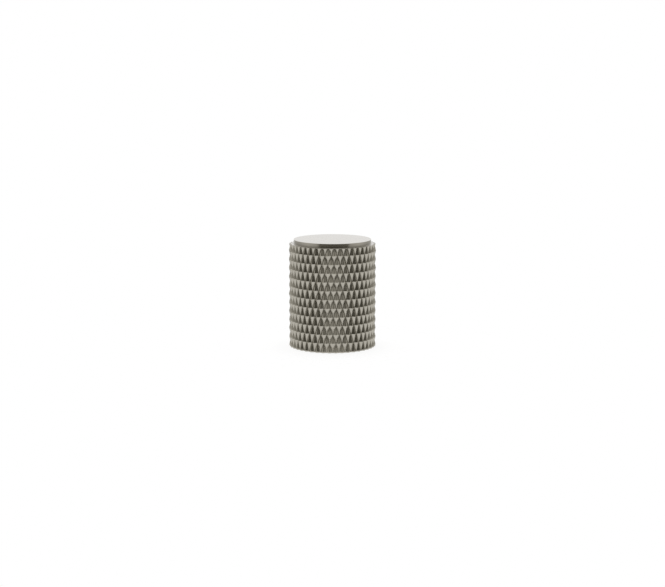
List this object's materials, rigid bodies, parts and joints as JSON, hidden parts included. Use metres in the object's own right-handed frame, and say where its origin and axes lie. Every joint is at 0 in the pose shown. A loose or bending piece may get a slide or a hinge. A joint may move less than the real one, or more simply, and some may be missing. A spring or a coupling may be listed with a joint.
{
  "type": "knurled knob",
  "caption": "Solid cylindrical metal knob with a diamond-knurled grip, a plain raised face and a blind tapped hole in its flat base.",
  "frame": {"origin": "centre of the flat base, on the axis of the knob and of its screw hole", "axes": "+Z along the knob's axis from the base to the face, -Y towards the front of the knob as pictured"},
  "size_m": [0.02, 0.02, 0.0248],
  "materials": {
    "satin_metal": "satin, fine turned"
  },
  "bodies": {
    "root": {"knob": "satin_metal"}
  },
  "joints": []
}
